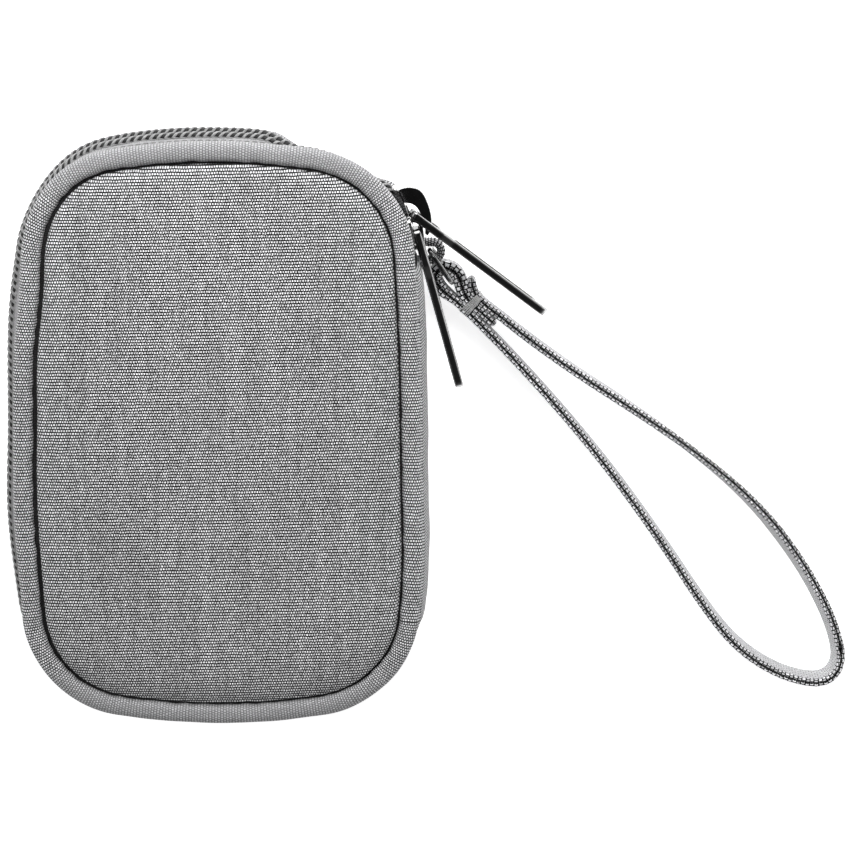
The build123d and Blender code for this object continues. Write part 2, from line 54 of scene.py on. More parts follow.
# ---------------------------------------------------------------- camera, light and floor
CAMERA_TILT = math.radians(11.5)
CAMERA_DISTANCE = 0.700
CAMERA_TARGET = Vector((0.0512, 0.0031, 0.034))
LENS = 121.0

scene = bpy.context.scene
camera = bpy.data.objects.new("camera", bpy.data.cameras.new("camera"))
scene.collection.objects.link(camera)
camera.data.lens = LENS
back = Vector((0, math.sin(CAMERA_TILT), math.cos(CAMERA_TILT)))
camera.location = CAMERA_TARGET + CAMERA_DISTANCE * back
camera.rotation_euler = (-CAMERA_TILT, 0, 0)
scene.camera = camera
scene.view_settings.view_transform = "Standard"


def studio_world():
    """White surroundings, bright near the horizon and dimmer overhead, as under a row of softboxes."""
    made = bpy.data.worlds.new("studio")
    made.use_nodes = True
    tree = made.node_tree
    coords = tree.nodes.new("ShaderNodeTexCoord")
    split = tree.nodes.new("ShaderNodeSeparateXYZ")
    fade = tree.nodes.new("ShaderNodeMapRange")
    fade.inputs["From Min"].default_value = 0.15
    fade.inputs["From Max"].default_value = 0.95
    fade.inputs["To Min"].default_value = 0.72
    fade.inputs["To Max"].default_value = 0.05
    tree.links.new(coords.outputs["Generated"], split.inputs[0])
    tree.links.new(split.outputs["Z"], fade.inputs["Value"])
    tree.links.new(fade.outputs["Result"], tree.nodes["Background"].inputs["Strength"])
    tree.nodes["Background"].inputs["Color"].default_value = (1, 1, 1, 1)
    return made


scene.world = studio_world()


def softbox(name, place, size, power):
    """Square area light that looks at the pouch."""
    light = bpy.data.objects.new(name, bpy.data.lights.new(name, "AREA"))
    light.data.size = size
    light.data.energy = power
    light.location = place
    light.rotation_euler = (CAMERA_TARGET - Vector(place)).to_track_quat("-Z", "Y").to_euler()
    scene.collection.objects.link(light)


softbox("key", (0.03, 0.30, 0.25), 0.24, 1.35)
softbox("left", (-0.60, 0.30, 0.55), 0.50, 2.2)
softbox("right", (0.75, 0.05, 0.60), 0.50, 2.0)

# ---------------------------------------------------------------- outline of the case
SIDE_RADIUS = 655 * MM
END_RADIUS = 159 * MM
CORNER_RADIUS = 27.5 * MM
# how far the zipper's track is shifted from the outline
TRACK_SHIFT = np.array((-2.0, 0.9)) * MM
# the zipper is tucked in under the cloth round the top right corner: it slips in between the first two
# angles, in degrees about that corner, and comes back out between the last two
TUCK_DEPTH = 2.9 * MM
TUCK_IN = (32, 50)
TUCK_OUT = (86, 108)
# how much deeper the back binding is tucked in than the zipper
BACK_TUCK = 1.35
# the soft case strays outwards from its even outline by a slight overall swell, and by swells and dents
# given for each half: the angle about its middle, the height in mm and the width in degrees
EVEN_SWELL = 0.3 * MM
SWELLS = {
    "front": [(138, -2.7, 16), (172, -0.8, 18), (322, 1.5, 18)],
    "back": [(129, -2.9, 14), (207, 1.5, 18), (322, 1.5, 18)],
}
_, binding_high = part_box("front_binding")
half_width, half_length = binding_high.x, binding_high.y


def outline_arcs():
    """The outline's eight arcs as centre, radius, first and last angle, anticlockwise from the hinge side."""
    side = np.array((half_width - SIDE_RADIUS, 0.0))
    end = np.array((0.0, half_length - END_RADIUS))
    ra = SIDE_RADIUS - CORNER_RADIUS
    rb = END_RADIUS - CORNER_RADIUS
    gap = np.linalg.norm(end - side)
    u = (end - side) / gap
    along = (ra**2 - rb**2 + gap**2) / (2 * gap)
    across = math.sqrt(ra**2 - along**2)
    cx, cy = side + along * u + across * np.array((-u[1], u[0]))
    a = math.atan2(cy, cx - side[0])
    b = math.atan2(cy - end[1], cx)
    pi = math.pi
    return [
        (side, SIDE_RADIUS, -a, a),
        ((cx, cy), CORNER_RADIUS, a, b),
        (end, END_RADIUS, b, pi - b),
        ((-cx, cy), CORNER_RADIUS, pi - b, pi - a),
        (-side, SIDE_RADIUS, pi - a, pi + a),
        ((-cx, -cy), CORNER_RADIUS, pi + a, pi + b),
        (-end, END_RADIUS, pi + b, 2 * pi - b),
        ((cx, -cy), CORNER_RADIUS, 2 * pi - b, 2 * pi - a),
    ]


ARCS = outline_arcs()
ARC_CENTRE = np.array([arc[0] for arc in ARCS])
ARC_RADIUS = np.array([arc[1] for arc in ARCS])
ARC_FIRST = np.array([arc[2] for arc in ARCS])
ARC_END = np.cumsum([r * (last - first) for _, r, first, last in ARCS])
ARC_START = np.concatenate([[0], ARC_END[:-1]])
PERIMETER = ARC_END[-1]


def rim_at(lengths):
    """Points of the outline at these lengths along it, and their outward normals."""
    s = np.mod(lengths, PERIMETER)
    k = np.searchsorted(ARC_END, s, side="right")
    k = np.minimum(k, len(ARCS) - 1)
    angle = ARC_FIRST[k] + (s - ARC_START[k]) / ARC_RADIUS[k]
    normal = np.stack([np.cos(angle), np.sin(angle)], axis=1)
    return ARC_CENTRE[k] + ARC_RADIUS[k, None] * normal, normal


def rim(lengths, half):
    """Points of one half's own, slightly uneven rim at these lengths, and the even outline's normals."""
    points, normals = rim_at(lengths)
    angle = np.degrees(np.arctan2(points[:, 1], points[:, 0]))
    stray = np.full(len(angle), EVEN_SWELL)
    for middle, height, width in SWELLS[half]:
        away = np.mod(angle - middle + 180, 360) - 180
        stray += height * MM * np.exp(-((away / width) ** 2))
    outwards = points / np.linalg.norm(points, axis=1)[:, None]
    return points + stray[:, None] * outwards, normals


DENSE = np.linspace(0, PERIMETER, 8000, endpoint=False)
DENSE_POINTS = rim_at(DENSE)[0]


def length_at(x, y):
    """Length along the outline of its point nearest to a place."""
    return DENSE[np.argmin(np.hypot(*(DENSE_POINTS - (x, y)).T))]


def even(start, stop, step):
    """Lengths from start to stop, an even step apart, about the step asked for."""
    return np.linspace(start, stop, max(2, round((stop - start) / step) + 1))


def waves(s, shortest, longest, seed, count=9):
    """Smooth seeded irregularity between -1 and 1 along a closed outline."""
    rng = np.random.default_rng(seed)
    turns = rng.integers(round(PERIMETER / longest), round(PERIMETER / shortest) + 1, count)
    phases = rng.random(count) * 2 * math.pi
    total = sum(np.sin(2 * math.pi * n * s / PERIMETER + p) for n, p in zip(turns, phases))
    return total / math.sqrt(count) / 1.6


# ---------------------------------------------------------------- meshes
def grid_mesh(name, grid, u, v, closed_u=False, closed_v=False, caps=False):
    """Quads over a grid of points. u and v are the UV values along it, with one more on a closed side."""
    n, m = grid.shape[:2]
    rows = np.arange(n if closed_u else n - 1)
    columns = np.arange(m if closed_v else m - 1)
    i, j = np.meshgrid(rows, columns, indexing="ij")
    i, j = i.ravel(), j.ravel()
    i2, j2 = (i + 1) % n, (j + 1) % m
    faces = np.stack([i * m + j, i2 * m + j, i2 * m + j2, i * m + j2], axis=1).tolist()
    uu = np.stack([u[i], u[i + 1], u[i + 1], u[i]], axis=1)
    vv = np.stack([v[j], v[j], v[j + 1], v[j + 1]], axis=1)
    uv = np.stack([uu, vv], axis=-1).reshape(-1, 2)
    if caps:
        faces.append(list(range(m))[::-1])
        faces.append([(n - 1) * m + k for k in range(m)])
        flat = (grid[0] - grid[0].mean(axis=0))[:, :2]
        uv = np.concatenate([uv, flat[::-1], flat])
    mesh = bpy.data.meshes.new(name)
    mesh.from_pydata(grid.reshape(-1, 3).tolist(), [], faces)
    layer = mesh.uv_layers.new(name="Cloth")
    layer.data.foreach_set("uv", uv.astype(np.float32).ravel())
    mesh.shade_smooth()
    return mesh


def piece(name, mesh, material, body, slot, *nodes):
    """New object that rides on a body and stands for CAD nodes. Its slot argument is not used."""
    made = bpy.data.objects.new(name, mesh)
    scene.collection.objects.link(made)
    if material is not None:
        mesh.materials.append(material)
    if body is not None:
        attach(made, body)
    if nodes:
        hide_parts(*nodes)
    return made


def path_lengths(points):
    """Running length along a row of points, from 0."""
    steps = np.linalg.norm(np.diff(points, axis=0), axis=1)
    return np.concatenate([[0], np.cumsum(steps)])


def smooth_step(part):
    """0 before the way starts, 1 after it ends and an even curve between."""
    part = np.clip(part, 0, 1)
    return part * part * (3 - 2 * part)


def tuck(lengths):
    """How far the zipper hides under the front binding at the top right corner, in metres."""
    angle = np.degrees((np.mod(lengths, PERIMETER) - ARC_START[1]) / CORNER_RADIUS + ARC_FIRST[1])
    slipped_in = smooth_step((angle - TUCK_IN[0]) / (TUCK_IN[1] - TUCK_IN[0]))
    back_out = smooth_step((angle - TUCK_OUT[0]) / (TUCK_OUT[1] - TUCK_OUT[0]))
    return TUCK_DEPTH * (slipped_in - back_out)


def around_rim(lengths, profile, half):
    """Grid of a profile carried along a half's rim. A profile point is its distance outwards, its height, its
    share of the track's shift and its share of the tuck."""
    points, normals = rim(lengths, half)
    out, height, share, hug = np.array(profile).T
    grid = np.zeros((len(lengths), len(profile), 3))
    grid[:, :, :2] = points[:, None] + out[..., None] * normals[:, None]
    grid[:, :, :2] += share[None, :, None] * TRACK_SHIFT
    grid[:, :, :2] -= hug[None, :, None] * (tuck(lengths)[:, None] * normals)[:, None]
    grid[:, :, 2] = height
    return grid


def tube(name, line, radius, sides=6, squash=1.0, closed=False, up=(0, 0, 1)):
    """Round or flattened tube along a row of points, squashed across 'up'."""
    ahead = np.roll(line, -1, axis=0) - np.roll(line, 1, axis=0)
    if not closed:
        ahead[0], ahead[-1] = line[1] - line[0], line[-1] - line[-2]
    ahead /= np.linalg.norm(ahead, axis=1)[:, None]
    side = np.cross(ahead, np.broadcast_to(up, ahead.shape))
    side /= np.maximum(np.linalg.norm(side, axis=1), 1e-9)[:, None]
    top = np.cross(side, ahead)
    turn = np.arange(sides) * 2 * math.pi / sides
    grid = line[:, None] + radius * np.cos(turn)[None, :, None] * side[:, None]
    grid = grid + radius * squash * np.sin(turn)[None, :, None] * top[:, None]
    u = path_lengths(np.vstack([line, line[:1]]))
    return grid_mesh(name, grid, u, np.linspace(0, 2 * math.pi * radius, sides + 1), closed, True, not closed)


def join(name, meshes):
    """One mesh from several."""
    verts, faces, uvs, start = [], [], [], 0
    for mesh in meshes:
        co = np.zeros(len(mesh.vertices) * 3, np.float32)
        mesh.vertices.foreach_get("co", co)
        verts.append(co.reshape(-1, 3))
        faces += [[k + start for k in p.vertices] for p in mesh.polygons]
        uv = np.zeros(len(mesh.loops) * 2, np.float32)
        mesh.uv_layers[0].data.foreach_get("uv", uv)
        uvs.append(uv)
        start += len(mesh.vertices)
        bpy.data.meshes.remove(mesh)
    made = bpy.data.meshes.new(name)
    made.from_pydata(np.concatenate(verts).tolist(), [], faces)
    made.uv_layers.new(name="Cloth").data.foreach_set("uv", np.concatenate(uvs))
    made.shade_smooth()
    return made


# ---------------------------------------------------------------- materials
class Recipe:
    """A material's node tree, with a short way to add and join nodes."""

    def __init__(self, name, shader):
        self.material = bpy.data.materials.new(name)
        self.material.use_nodes = True
        self.tree = self.material.node_tree
        self.shader = self.tree.nodes["Principled BSDF"]
        for socket, value in shader.items():
            self.shader.inputs[socket].default_value = value

    def add(self, kind, inputs, output=0, **settings):
        """Adds a node, fills its sockets with values or joins them to other nodes, and returns an output."""
        node = self.tree.nodes.new("ShaderNode" + kind)
        for key, value in settings.items():
            setattr(node, key, value)
        for socket, value in inputs.items():
            if isinstance(value, bpy.types.NodeSocket):
                self.tree.links.new(value, node.inputs[socket])
            else:
                node.inputs[socket].default_value = value
        return node.outputs[output]

    def feed(self, socket, source):
        """Joins an output to the shader."""
        self.tree.links.new(source, self.shader.inputs[socket])

    def spread(self, value, start, end, source=(0.3, 0.7)):
        """Maps a value from its own range, by default the usual one of a noise, to that from start to end."""
        ranges = {"From Min": source[0], "From Max": source[1], "To Min": start, "To Max": end}
        return self.add("MapRange", {"Value": value, **ranges})

    def tinted(self, colour, amount):
        """A colour times an amount that varies over the surface."""
        node = self.tree.nodes.new("ShaderNodeMix")
        node.data_type = "RGBA"
        node.blend_type = "MULTIPLY"
        node.inputs["Factor"].default_value = 1.0
        self.tree.links.new(colour, node.inputs[6])
        self.tree.links.new(amount, node.inputs[7])
        return node.outputs[2]


def grey(value, warm=0.0):
    """A grey, a little cool unless warmed."""
    return (value * (1 + warm), value, value * (1.02 - warm), 1)


# distances from the case's middle, in metres, between which a calm weave fades
CALM_FROM = 0.056
CALM_TO = 0.068


def weave(
    name, light, dark, gap, bead, rib, source="Object", turn=0.0,
    streak=0.16, bump=0.10, narrow=1.3, mortar=0.26, calm=0.0,
):
    """Ribbed weave: staggered rows of beads with dark gaps, tinted bead by bead, with soft streaks across the
    rows. calm is how much the pattern fades towards the case's two short sides."""
    shader = {"Roughness": 0.85, "Specular IOR Level": 0.2, "Sheen Weight": 0.08, "Sheen Roughness": 0.45}
    r = Recipe(name, shader)
    coords = r.add("TexCoord", {}, output=source)
    mm = r.add("Mapping", {"Vector": coords, "Scale": (1000, 1000, 1000), "Rotation": (0, 0, turn)})
    sway = r.add("TexNoise", {"Vector": mm, "Scale": 0.45, "Detail": 2.0}, output="Color")
    sway = r.add("VectorMath", {0: sway, 1: (0.5, 0.5, 0.5)}, operation="SUBTRACT")
    sway = r.add("VectorMath", {0: sway, "Scale": 0.5 * rib}, operation="SCALE")
    threads = r.add("VectorMath", {0: mm, 1: sway}, operation="ADD")
    threads = r.add("VectorMath", {0: threads, 1: (narrow, 1.0, 1.0)}, operation="MULTIPLY")
    brick_inputs = {
        "Vector": threads,
        "Color1": grey(light),
        "Color2": grey(dark),
        "Mortar": grey(gap),
        "Scale": 1.0,
        "Mortar Size": mortar * rib,
        "Mortar Smooth": 0.5,
        "Bias": -0.25,
        "Brick Width": bead * narrow,
        "Row Height": rib,
    }
    bricks = r.add("TexBrick", brick_inputs, output="Color")
    mortar_share = bricks.node.outputs["Fac"]
    stretched = r.add("Mapping", {"Vector": mm, "Scale": (0.45, 0.018, 0.3)})
    streaks = r.add("TexNoise", {"Vector": stretched, "Scale": 1.0, "Detail": 5.0, "Roughness": 0.65})
    streaks = r.spread(streaks, 1 - streak, 1 + streak)
    if calm:
        places = r.add("TexCoord", {}, output="Object")
        end = r.add("Math", {0: r.add("SeparateXYZ", {0: places}, output="Y")}, operation="ABSOLUTE")
        fade = r.spread(end, 0.0, calm, (CALM_FROM, CALM_TO))
        blended = {"Factor": fade, 6: bricks, 7: grey(0.33 * light)}
        bricks = r.add("Mix", blended, output=2, data_type="RGBA")
    colour = r.tinted(bricks, streaks)
    fibres = r.add("TexNoise", {"Vector": mm, "Scale": 5.0, "Detail": 2.0})
    fibres = r.spread(fibres, 0.78, 1.22)
    r.feed("Base Color", r.tinted(colour, fibres))
    height = r.add("Math", {0: 1.0, 1: mortar_share}, operation="SUBTRACT")
    fuzz = r.add("Math", {0: fibres, 1: 0.25}, operation="MULTIPLY")
    height = r.add("Math", {0: height, 1: fuzz}, operation="ADD")
    r.feed("Normal", r.add("Bump", {"Height": height, "Strength": 1.0, "Distance": bump * MM}))
    return r.material


# about how far a rounded edge on top of the metal parts faces up, as the height of its normal; edges that
# face this way get a painted highlight
EDGE_UPWARD = 0.62


def metal(name, value, roughness, scale=900.0, edge_highlight=0.40):
    """Plated metal with faint brushing, small marks in its gloss and a painted highlight on rounded edges
    that face partly up.
    """
    r = Recipe(name, {"Metallic": 1.0, "Coat Weight": 0.5, "Coat Roughness": 0.08})
    coords = r.add("TexCoord", {}, output="Object")
    marks = r.add("TexNoise", {"Vector": coords, "Scale": scale, "Detail": 4.0, "Roughness": 0.6})
    tone = r.spread(marks, 0.8 * value, 1.2 * value)
    # painted highlight: rounded edges that face partly up are made brighter in the base colour
    upward = r.add("SeparateXYZ", {0: r.add("TexCoord", {}, output="Normal")}, output="Z")
    off_edge = r.add("Math", {0: upward, 1: EDGE_UPWARD}, operation="SUBTRACT")
    off_edge = r.add("Math", {0: off_edge}, operation="ABSOLUTE")
    edge_glint = r.spread(off_edge, edge_highlight, 0.0, (0.14, 0.28))
    tone = r.add("Math", {0: tone, 1: edge_glint}, operation="ADD", use_clamp=True)
    r.feed("Base Color", r.add("CombineColor", {"Red": tone, "Green": tone, "Blue": tone}))
    r.feed("Roughness", r.spread(marks, 0.7 * roughness, 1.4 * roughness))
    r.feed("Normal", r.add("Bump", {"Height": marks, "Strength": 0.12, "Distance": 0.02 * MM}))
    return r.material


def thread(name, value, twist=0.35, source="UV"):
    """Twisted sewing thread or cord, lighter on its strands, with painted shade in the grooves between them.
    """
    shader = {"Roughness": 0.6, "Specular IOR Level": 0.35, "Sheen Weight": 0.2, "Sheen Roughness": 0.4}
    r = Recipe(name, shader)
    coords = r.add("TexCoord", {}, output=source)
    mm = r.add("Mapping", {"Vector": coords, "Scale": (1000, 1000, 1000), "Rotation": (0, 0, 0.6)})
    turns = {"Vector": mm, "Scale": 1 / twist / math.tau * 3, "Distortion": 0.8}
    wave = r.add("TexWave", turns, output="Fac")
    # painted shade: the colour darkens in the grooves of the twist, where the bump dips
    tone = r.spread(wave, 0.55 * value, 1.2 * value, (0.0, 1.0))
    r.feed("Base Color", r.add("CombineColor", {"Red": tone, "Green": tone, "Blue": tone}))
    r.feed("Normal", r.add("Bump", {"Height": wave, "Strength": 0.8, "Distance": 0.05 * MM}))
    return r.material


# spacing of the case cloth's rows and of the beads in a row, then of the strap's beads along it and across
# it, in mm
RIB = 0.73
BEAD = 0.62
STRAP_BEAD = 1.12
STRAP_BEAD_WIDTH = 0.80
CLOTH_TURN = math.radians(-1.2)
case_cloth = weave("case_cloth", 0.95, 0.50, 0.004, BEAD, RIB, turn=CLOTH_TURN, bump=0.14)
binding_cloth = weave("binding_cloth", 0.90, 0.50, 0.01, BEAD, RIB, "UV", math.pi / 2, streak=0.10, calm=0.66)
gusset_cloth = weave("gusset_cloth", 0.80, 0.46, 0.01, BEAD, RIB, "UV", math.pi / 2, streak=0.06)
tape_cloth = weave("tape_cloth", 0.50, 0.40, 0.12, 0.45, 0.35, "UV", 0.0, streak=0.05, bump=0.05)
lining_cloth = weave("lining_cloth", 0.045, 0.03, 0.008, 0.6, 0.45, "Object", 0.0, streak=0.05, bump=0.06)
elastic_cloth = weave("elastic_cloth", 0.035, 0.025, 0.006, 1.1, 0.5, "UV", 0.0, streak=0.03, bump=0.12)
strap_side = weave("strap_side", 0.66, 0.52, 0.16, 1.6, 0.75, "UV", 0.0, streak=0.04, bump=0.06, mortar=0.2)
strap_edge = weave(
    "strap_edge", 0.90, 0.50, 0.0, STRAP_BEAD_WIDTH, STRAP_BEAD, "UV", math.pi / 2,
    streak=0.05, narrow=1.4, mortar=0.19,
)
# near-black painted shade for the crevice down the middle of the ribbon's top, between its two woven edges
strap_notch_shade = weave(
    "strap_notch_shade", 0.10, 0.04, 0.0, STRAP_BEAD_WIDTH, STRAP_BEAD, "UV", math.pi / 2, streak=0.05
)
tab_cloth = weave("tab_cloth", 0.75, 0.50, 0.02, 0.6, 0.72, "UV", math.pi / 2, streak=0.05, bump=0.12)
coil_nylon = thread("coil_nylon", 0.34, 0.5)
# near-black painted shade for the gaps between the coil's strands
coil_gap_shade = thread("coil_gap_shade", 0.025, 0.5)
tack_thread = thread("tack_thread", 0.60)
stitch_thread = thread("stitch_thread", 0.30)
# each metal's painted edge highlight has a brightness of its own, given last where it differs from the
# default
slider_gloss = metal("slider_gloss", 0.10, 0.08, edge_highlight=0.7)
pull_gloss = metal("pull_gloss", 0.09, 0.08)
ring_black = metal("ring_black", 0.12, 0.16, edge_highlight=0.1)
spring_steel = metal("spring_steel", 0.12, 0.18, edge_highlight=0.1)
stop_metal = metal("stop_metal", 0.25, 0.25, edge_highlight=0.3)
net_thread = thread("net_thread", 0.06, 0.35, "Object")


# ---------------------------------------------------------------- wrist strap
TACK_CENTRE = (0.0630, 0.0290)
TACK_HEIGHT = 0.0061
STRAP_HEADING = math.radians(-44.0)
STRAP_FALL = math.radians(0.97)
STRAP_ROUTE = [
    (0.06890, 0.02375),
    (0.06487, 0.02719),
    (0.06099, 0.03095),
    (0.05960, 0.03690),
    (0.05560, 0.03870),
    (0.05330, 0.03640),
    (0.05440, 0.03320),
    (0.05949, 0.02940),
    (0.06395, 0.02509),
    (0.07220, 0.01670),
    (0.08400, 0.00370),
    (0.09820, -0.01360),
    (0.11240, -0.03330),
    (0.12460, -0.05200),
    (0.13230, -0.06130),
    (0.14150, -0.06760),
    (0.15000, -0.07040),
    (0.15560, -0.07020),
    (0.15870, -0.06620),
    (0.15810, -0.06000),
    (0.15460, -0.05050),
    (0.14720, -0.03780),
    (0.13600, -0.02330),
    (0.12200, -0.01100),
    (0.10500, 0.00110),
    (0.08800, 0.01230),
    (0.07650, 0.02080),
    (0.07070, 0.02550),
    (0.06651, 0.02860),
    (0.06313, 0.03187),
    (0.06290, 0.03560),
]


def strap_height(x, y):
    """Height of the strap's centre line, which falls gently away from the ring."""
    away = (x - TACK_CENTRE[0]) * math.cos(STRAP_HEADING) + (y - TACK_CENTRE[1]) * math.sin(STRAP_HEADING)
    return TACK_HEIGHT - math.tan(STRAP_FALL) * away


def spline_points(route):
    """Points of the smooth NURBS line with this route as its control points."""
    curve = bpy.data.curves.new("strap_route", "CURVE")
    curve.dimensions = "3D"
    curve.resolution_u = 24
    spline = curve.splines.new("NURBS")
    spline.points.add(len(route) - 1)
    for point, (x, y) in zip(spline.points, route):
        point.co = (x, y, strap_height(x, y), 1)
    spline.order_u = 3
    spline.use_endpoint_u = True
    holder = bpy.data.objects.new("strap_route", curve)
    mesh = bpy.data.meshes.new_from_object(holder)
    line = np.array([v.co for v in mesh.vertices])
    bpy.data.objects.remove(holder)
    bpy.data.curves.remove(curve)
    bpy.data.meshes.remove(mesh)
    return line


def resampled(line, step):
    """The same line with points an even step apart."""
    along = path_lengths(line)
    at = np.linspace(0, along[-1], round(along[-1] / step) + 1)
    return np.stack([np.interp(at, along, line[:, k]) for k in range(3)], axis=1)


BEADS = STRAP_BEAD * MM
strap_line = resampled(spline_points(STRAP_ROUTE), BEADS / 5)
# half of the folded ribbon's section: across its thickness, and up its width, in mm
HALF_PLY = [
    (0.04, 2.25), (0.13, 2.70), (0.21, 3.00), (0.42, 3.24), (0.70, 3.25), (0.92, 3.08), (1.04, 2.80),
    (1.05, 2.40), (1.05, 1.60), (1.05, 0.0), (1.05, -1.60), (1.05, -2.40), (1.02, -2.80), (0.85, -3.10),
    (0.50, -3.28),
]
# how far the ribbon leans outwards from upright, in degrees, at shares of its length
LEAN = [
    (0.12, 0), (0.25, 2), (0.40, 5), (0.50, 7), (0.54, 9), (0.60, 14), (0.68, 16), (0.76, 8), (0.85, 0),
]
# length over which the ribbon thins to its two ends, in mm
END_TAPER = 1.3
# how much thicker the two plies spread where they loop round the ring, at lengths along the ribbon in mm
FULL = [(6, 1.0), (12, 1.7), (26, 1.7), (32, 1.0)]
# the plies part a little at the loop's far bend: where along the ribbon, over what reach and by how much
BEND_AT = 0.184
BEND_REACH = 0.0011
BEND_OPEN = 0.36 * MM


def strap_mesh(line):
    """Ribbon folded in two along its length, its two woven edges side by side on top."""
    ahead = np.gradient(line, axis=0)
    ahead /= np.linalg.norm(ahead, axis=1)[:, None]
    side = np.cross(ahead, (0, 0, 1.0))
    side /= np.linalg.norm(side, axis=1)[:, None]
    top = np.cross(side, ahead)
    section = np.array(HALF_PLY + [(-x, z) for x, z in reversed(HALF_PLY)]) * MM
    count = len(section)
    s = path_lengths(line)
    edge = np.clip((section[:, 1] / MM - 2.6) / 0.5, 0, 1)
    bead = -np.cos(2 * math.pi * s[:, None] / BEADS) * 0.09 * MM * edge[None]
    wander = 0.10 * MM * np.sin(s / 0.0083 + 1.3 * np.sin(s / 0.031))
    notch = np.clip(1 - np.abs(section[:, 0]) / MM / 0.5, 0, 1) * edge
    outwards = np.sign(section[None, :, 0])
    pinch = -0.26 * MM * np.cos(2 * math.pi * s / BEADS)[:, None] * notch[None] * outwards
    full = np.interp(s / MM, *np.array(FULL).T)[:, None]
    open_bend = BEND_OPEN * np.exp(-(((s - BEND_AT) / BEND_REACH) ** 2))
    inner = np.exp(-((section[:, 0] / MM / 0.35) ** 2)) * (section[:, 1] > 0)
    across = section[None, :, 0] + outwards * inner[None] * open_bend[:, None]
    across = across + outwards * 0.4 * open_bend[:, None] * edge[None] + wander[:, None] * 0.5
    across = (across + pinch) * full
    up = section[None, :, 1] + bead
    lean = np.radians(np.interp(s / s[-1], *np.array(LEAN).T))[:, None]
    across, up = across * np.cos(lean) + up * np.sin(lean), up * np.cos(lean) - across * np.sin(lean)
    from_end = np.minimum(s, s[-1] - s) / MM / END_TAPER
    taper = np.sqrt(np.clip(1 - (1 - np.clip(from_end, 0, 1)) ** 2, 0.05, 1))[:, None]
    across, up = across * (0.35 + 0.65 * taper), up * (0.6 + 0.4 * taper)
    grid = line[:, None] + across[..., None] * side[:, None] + up[..., None] * top[:, None]
    grid[..., 2] = np.maximum(grid[..., 2], 0.0)
    around = path_lengths(np.vstack([section, section[:1]]))
    mesh = grid_mesh("wrist_strap_ribbon", grid, s, around, closed_v=True, caps=True)
    ends = np.stack([section, np.roll(section, -1, axis=0)]) / MM
    woven = np.all(ends[..., 1] > 2.35, axis=0).astype(np.int32)
    # faces in the crevice between the two woven edges take the painted shade
    woven[np.all((np.abs(ends[..., 0]) < 0.24) & (ends[..., 1] > 2.0), axis=0)] = 2
    for material in (strap_side, strap_edge, strap_notch_shade):
        mesh.materials.append(material)
    index = np.zeros(len(mesh.polygons), np.int32)
    index[: (len(line) - 1) * count] = np.tile(woven, len(line) - 1)
    mesh.polygons.foreach_set("material_index", index)
    return mesh


strap = piece("wrist_strap_ribbon", strap_mesh(strap_line), None, "strap", "strap_webbing", "wrist_strap")


def rounded_loop(half_x, half_y, count, power=4.0):
    """Points of a closed loop between an ellipse and a rectangle."""
    turn = np.arange(count) * 2 * math.pi / count
    c, s = np.cos(turn), np.sin(turn)
    reach = (np.abs(c / half_x) ** power + np.abs(s / half_y) ** power) ** (-1 / power)
    return np.stack([reach * c, reach * s], axis=1)


TACK_TURNS = 5
TACK_PITCH = 0.43 * MM
TACK_RADIUS = 0.17 * MM


def bartack():
    """Turns of thick thread laid side by side round the strap's three layers."""
    low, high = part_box("strap_bartack")
    centre = (low + high) / 2
    rng = np.random.default_rng(4)
    along = np.array((math.cos(STRAP_HEADING), math.sin(STRAP_HEADING), 0))
    across = np.array((-along[1], along[0], 0))
    turns = []
    for k in range(TACK_TURNS):
        loop = rounded_loop((3.40 + rng.normal(0, 0.04)) * MM, 3.52 * MM, 40)
        place = (k - 2) * TACK_PITCH
        lean = (2 - k) * 0.035 + rng.normal(0, 0.02)
        line = np.array(centre) + (place + lean * loop[:, :1]) * along + loop[:, :1] * across
        line = line + loop[:, 1:] * np.array((0, 0, 1.0))
        turns.append(tube("turn", line, TACK_RADIUS, 8, closed=True, up=tuple(along)))
    return join("strap_bartack_thread", turns)


tack = piece("strap_bartack_thread", bartack(), tack_thread, "strap", "bartack_thread", "strap_bartack")

# ---------------------------------------------------------------- ribbon tab and ring
TAB_RADIUS = 2.25 * MM


def tab_mesh():
    """Thick grosgrain ribbon folded round the ring, ribbed across."""
    low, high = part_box("strap_tab")
    middle = (low.y + high.y) / 2
    centre_x = high.x - (high.y - low.y) / 2
    start_x = low.x + 0.6 * MM
    leg = np.linspace(start_x, centre_x, 26, endpoint=False)
    turn = np.linspace(math.pi / 2, -math.pi / 2, 52)
    top = [(x, middle + TAB_RADIUS) for x in leg]
    bow = [(centre_x + TAB_RADIUS * math.cos(a), middle + TAB_RADIUS * math.sin(a)) for a in turn]
    bottom = [(x, middle - TAB_RADIUS) for x in leg[::-1]]
    line = np.array([(x, y, (low.z + high.z) / 2) for x, y in top + bow + bottom])
    line = resampled(line, 0.09 * MM)
    ahead = np.gradient(line, axis=0)
    ahead /= np.linalg.norm(ahead, axis=1)[:, None]
    side = np.cross(ahead, (0, 0, 1.0))
    section = rounded_loop(1.02 * MM, (high.z - low.z) / 2, 24, 3.2)
    s = path_lengths(line)
    rib = 1 + 0.05 * np.cos(2 * math.pi * s / (RIB * MM))
    grid = line[:, None] + (section[None, :, :1] * rib[:, None, None]) * side[:, None]
    grid[..., 2] += section[None, :, 1] * (0.97 + 0.03 * rib[:, None])
    around = path_lengths(np.vstack([section, section[:1]]))
    return grid_mesh("strap_tab_ribbon", grid, s, around, closed_v=True, caps=True)


piece("strap_tab_ribbon", tab_mesh(), tab_cloth, "back_shell", "tab_webbing", "strap_tab")

